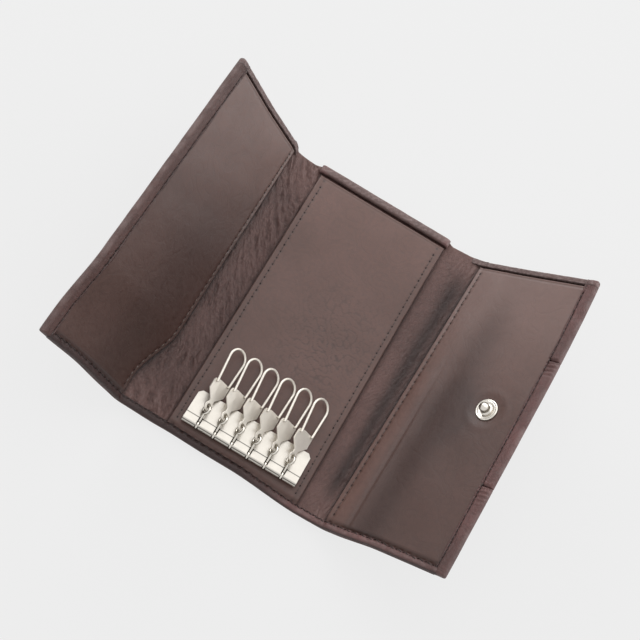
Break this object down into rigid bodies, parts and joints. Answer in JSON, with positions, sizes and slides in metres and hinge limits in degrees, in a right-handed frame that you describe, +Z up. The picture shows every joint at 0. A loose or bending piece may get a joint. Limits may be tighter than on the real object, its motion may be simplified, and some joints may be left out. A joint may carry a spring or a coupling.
{
  "type": "key case",
  "caption": "Trifold leather key case lying open, with a row of spring hooks on a metal bar and a snap fastener that holds the two side flaps closed.",
  "frame": {"origin": "middle of the centre cover's outer face, which rests on the table", "axes": "+X from the left flap to the right flap, +Y along the folds away from the key bar, +Z up from the table"},
  "size_m": [0.144, 0.11, 0.0405],
  "materials": {
    "outer_leather": "satin",
    "grain_leather": "satin",
    "smooth_leather": "satin",
    "board": "matte",
    "foil": "satin",
    "nickel": "polished"
  },
  "bodies": {
    "centre": {"cover_centre": "outer_leather", "lining_centre": "grain_leather", "stiffener_centre": "board", "rfid_foil": "foil", "panel_centre": "smooth_leather", "key_bar": "nickel", "key_bar_pin": "nickel", "key_bar_backing": "nickel"},
    "left_spine": {"cover_left_spine": "outer_leather", "lining_left_spine": "grain_leather"},
    "left_flap": {"cover_left_flap": "outer_leather", "lining_left_flap": "grain_leather", "stiffener_left": "board", "panel_left": "smooth_leather", "snap_socket": "nickel", "snap_socket_washer": "nickel"},
    "right_spine": {"cover_right_spine": "outer_leather", "lining_right_spine": "grain_leather"},
    "right_flap": {"cover_right_flap_top": "outer_leather", "cover_right_flap_band": "outer_leather", "cover_right_flap_bottom": "outer_leather", "lining_right_flap": "grain_leather", "stiffener_right": "board", "panel_right": "smooth_leather", "snap_stud": "nickel", "snap_stud_washer": "nickel"},
    "link_1": {"link_1": "nickel"},
    "hook_1": {"hook_1": "nickel"},
    "loop_1": {"loop_1": "nickel"},
    "link_2": {"link_2": "nickel"},
    "hook_2": {"hook_2": "nickel"},
    "loop_2": {"loop_2": "nickel"},
    "link_3": {"link_3": "nickel"},
    "hook_3": {"hook_3": "nickel"},
    "loop_3": {"loop_3": "nickel"},
    "link_4": {"link_4": "nickel"},
    "hook_4": {"hook_4": "nickel"},
    "loop_4": {"loop_4": "nickel"},
    "link_5": {"link_5": "nickel"},
    "hook_5": {"hook_5": "nickel"},
    "loop_5": {"loop_5": "nickel"},
    "link_6": {"link_6": "nickel"},
    "hook_6": {"hook_6": "nickel"},
    "loop_6": {"loop_6": "nickel"}
  },
  "joints": [
    {"name": "left_spine_fold", "type": "hinge", "parent": "centre", "child": "left_spine", "pos_m": [-0.0315, 0, 0.0013], "axis": [0, 1, 0], "range_deg": [-22, 68]},
    {"name": "left_flap_fold", "type": "hinge", "parent": "left_spine", "child": "left_flap", "pos_m": [-0.03986, 0, 0.00468], "axis": [0, 1, 0], "range_deg": [-30, 60]},
    {"name": "right_spine_fold", "type": "hinge", "parent": "centre", "child": "right_spine", "pos_m": [0.0254, 0, 0.0013], "axis": [0, -1, 0], "range_deg": [-8, 82]},
    {"name": "right_flap_fold", "type": "hinge", "parent": "right_spine", "child": "right_flap", "pos_m": [0.0381, 0, 0.00308], "axis": [0, -1, 0], "range_deg": [-30.5, 59.5]},
    {"name": "link_1_swing", "type": "hinge", "parent": "centre", "child": "link_1", "pos_m": [-0.016, -0.048, 0.00435], "axis": [1, 0, 0], "range_deg": [0, 160]},
    {"name": "hook_1_swivel", "type": "hinge", "parent": "link_1", "child": "hook_1", "pos_m": [-0.016, -0.04101, 0.00624], "axis": [0.6428, 0.0532, 0.7642], "range_deg": [0, 25]},
    {"name": "loop_1_opening", "type": "hinge", "parent": "hook_1", "child": "loop_1", "pos_m": [-0.01774, -0.03248, 0.00785], "axis": [0.6428, 0.0532, 0.7642], "range_deg": [0, 16], "stiffness_Nm_per_rad": 0.01},
    {"name": "link_2_swing", "type": "hinge", "parent": "centre", "child": "link_2", "pos_m": [-0.0096, -0.048, 0.00435], "axis": [1, 0, 0], "range_deg": [0, 160]},
    {"name": "hook_2_swivel", "type": "hinge", "parent": "link_2", "child": "hook_2", "pos_m": [-0.0096, -0.04101, 0.00624], "axis": [0.6428, 0.0532, 0.7642], "range_deg": [0, 25]},
    {"name": "loop_2_opening", "type": "hinge", "parent": "hook_2", "child": "loop_2", "pos_m": [-0.01134, -0.03248, 0.00785], "axis": [0.6428, 0.0532, 0.7642], "range_deg": [0, 16], "stiffness_Nm_per_rad": 0.01},
    {"name": "link_3_swing", "type": "hinge", "parent": "centre", "child": "link_3", "pos_m": [-0.0032, -0.048, 0.00435], "axis": [1, 0, 0], "range_deg": [0, 160]},
    {"name": "hook_3_swivel", "type": "hinge", "parent": "link_3", "child": "hook_3", "pos_m": [-0.0032, -0.04101, 0.00624], "axis": [0.6428, 0.0532, 0.7642], "range_deg": [0, 25]},
    {"name": "loop_3_opening", "type": "hinge", "parent": "hook_3", "child": "loop_3", "pos_m": [-0.00494, -0.03248, 0.00785], "axis": [0.6428, 0.0532, 0.7642], "range_deg": [0, 16], "stiffness_Nm_per_rad": 0.01},
    {"name": "link_4_swing", "type": "hinge", "parent": "centre", "child": "link_4", "pos_m": [0.0032, -0.048, 0.00435], "axis": [1, 0, 0], "range_deg": [0, 160]},
    {"name": "hook_4_swivel", "type": "hinge", "parent": "link_4", "child": "hook_4", "pos_m": [0.0032, -0.04101, 0.00624], "axis": [0.6428, 0.0532, 0.7642], "range_deg": [0, 25]},
    {"name": "loop_4_opening", "type": "hinge", "parent": "hook_4", "child": "loop_4", "pos_m": [0.00146, -0.03248, 0.00785], "axis": [0.6428, 0.0532, 0.7642], "range_deg": [0, 16], "stiffness_Nm_per_rad": 0.01},
    {"name": "link_5_swing", "type": "hinge", "parent": "centre", "child": "link_5", "pos_m": [0.0096, -0.048, 0.00435], "axis": [1, 0, 0], "range_deg": [0, 160]},
    {"name": "hook_5_swivel", "type": "hinge", "parent": "link_5", "child": "hook_5", "pos_m": [0.0096, -0.04101, 0.00624], "axis": [0.6428, 0.0532, 0.7642], "range_deg": [0, 25]},
    {"name": "loop_5_opening", "type": "hinge", "parent": "hook_5", "child": "loop_5", "pos_m": [0.00786, -0.03248, 0.00785], "axis": [0.6428, 0.0532, 0.7642], "range_deg": [0, 16], "stiffness_Nm_per_rad": 0.01},
    {"name": "link_6_swing", "type": "hinge", "parent": "centre", "child": "link_6", "pos_m": [0.016, -0.048, 0.00435], "axis": [1, 0, 0], "range_deg": [0, 160]},
    {"name": "hook_6_swivel", "type": "hinge", "parent": "link_6", "child": "hook_6", "pos_m": [0.016, -0.04101, 0.00624], "axis": [0.6428, 0.0532, 0.7642], "range_deg": [0, 25]},
    {"name": "loop_6_opening", "type": "hinge", "parent": "hook_6", "child": "loop_6", "pos_m": [0.01426, -0.03248, 0.00785], "axis": [0.6428, 0.0532, 0.7642], "range_deg": [0, 16], "stiffness_Nm_per_rad": 0.01}
  ]
}
